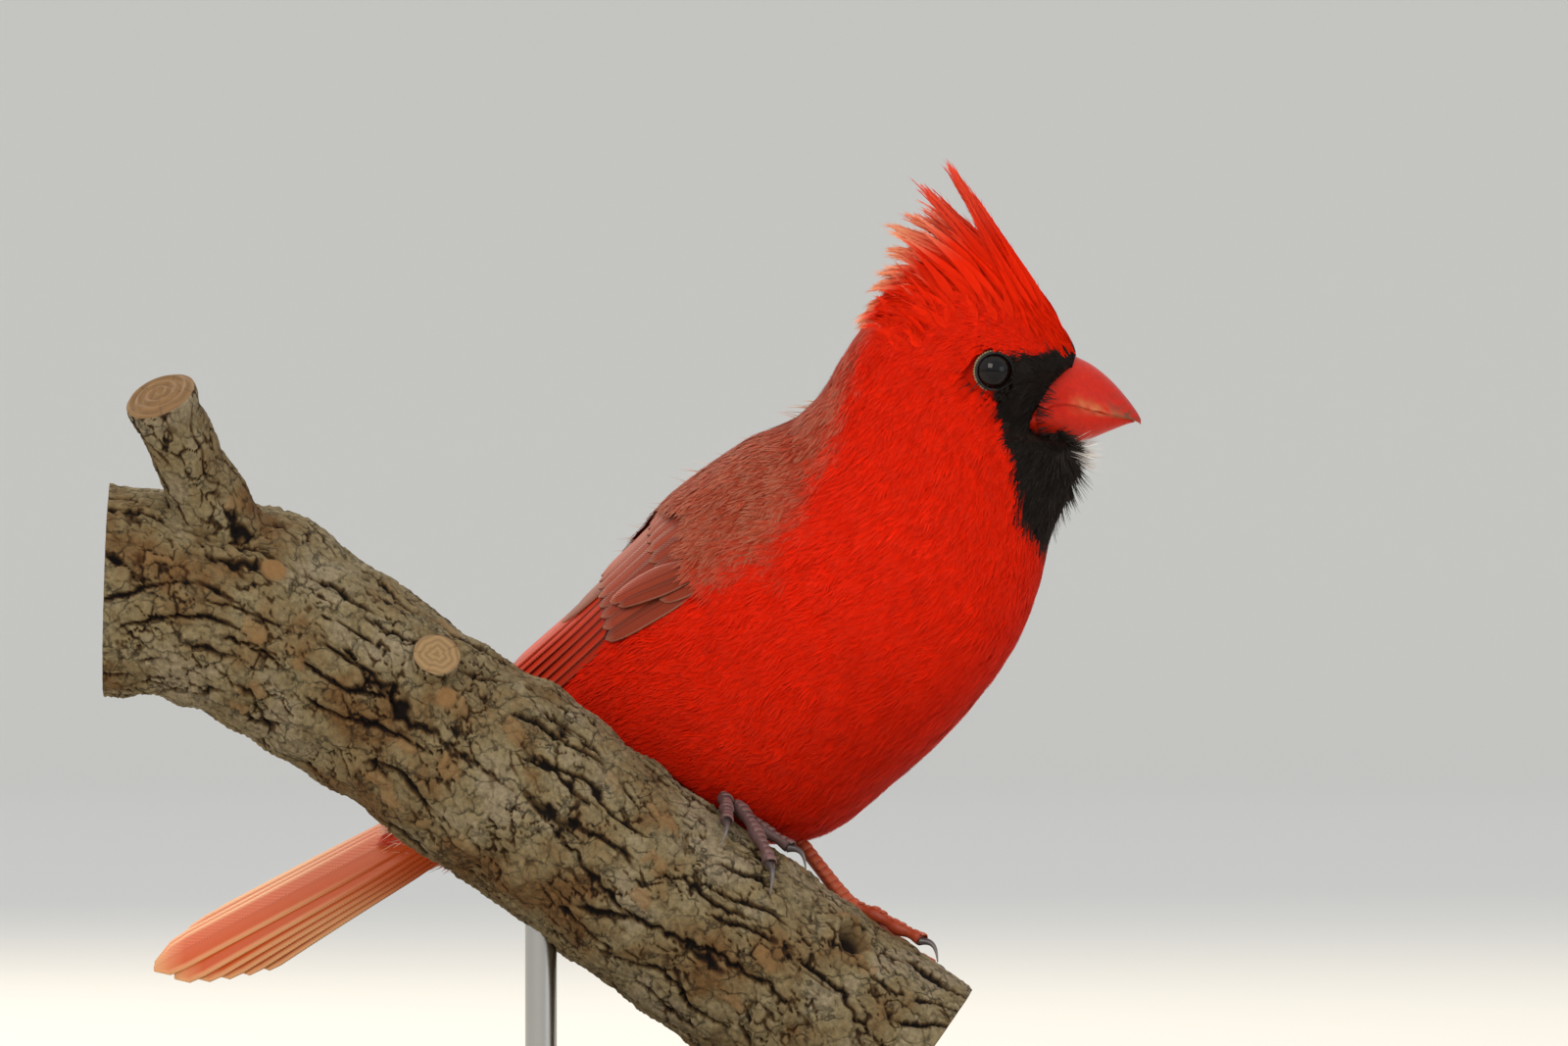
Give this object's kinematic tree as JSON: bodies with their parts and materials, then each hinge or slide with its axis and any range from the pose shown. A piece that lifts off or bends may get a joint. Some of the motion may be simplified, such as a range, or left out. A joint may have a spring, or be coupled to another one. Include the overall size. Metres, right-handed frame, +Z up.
{
  "type": "northern cardinal model on a perch",
  "caption": "Life-size still model of a male northern cardinal gripping a sloping cut length of branch, held by rods on a flat base.",
  "frame": {"origin": "centre of the display stand's flat underside", "axes": "+Z up from the stand's underside; the bird's bill points along +X and its right side faces -Y, towards the picture's camera"},
  "size_m": [0.1958, 0.1161, 0.2109],
  "materials": {
    "plumage": "matte, hair-like feather barbs",
    "back_plumage": "matte, dusty feather fringes",
    "flight_feathers": "satin feather vanes",
    "bill": "smooth horn",
    "eye": "wet gloss",
    "leg_scales": "dry scaled skin",
    "claw": "smooth horn",
    "bark": "rough fissured bark",
    "base_wood": "dark stain, satin",
    "rod_steel": "brushed"
  },
  "bodies": {
    "root": {"bill_lower": "bill", "bill_upper": "bill", "claw_left_1": "claw", "claw_left_2": "claw", "claw_left_3": "claw", "claw_left_4": "claw", "claw_right_1": "claw", "claw_right_2": "claw", "claw_right_3": "claw", "claw_right_4": "claw", "crest": "plumage", "eye_left": "eye", "eye_right": "eye", "head": "plumage", "neck": "plumage", "perch": "bark", "stand_base": "base_wood", "stand_rod_high": "rod_steel", "stand_rod_low": "rod_steel", "tail": "flight_feathers", "tail_coverts": "plumage", "tarsus_left": "leg_scales", "tarsus_right": "leg_scales", "thigh_left": "plumage", "toe_left_1": "leg_scales", "toe_left_2": "leg_scales", "toe_left_3": "leg_scales", "toe_left_4": "leg_scales", "toe_right_1": "leg_scales", "toe_right_2": "leg_scales", "toe_right_3": "leg_scales", "toe_right_4": "leg_scales", "trunk": "plumage", "wing_left_coverts": "back_plumage", "wing_left_primaries": "flight_feathers", "wing_left_secondaries": "flight_feathers", "wing_right_coverts": "back_plumage", "wing_right_primaries": "flight_feathers", "wing_right_secondaries": "flight_feathers"}
  },
  "joints": []
}
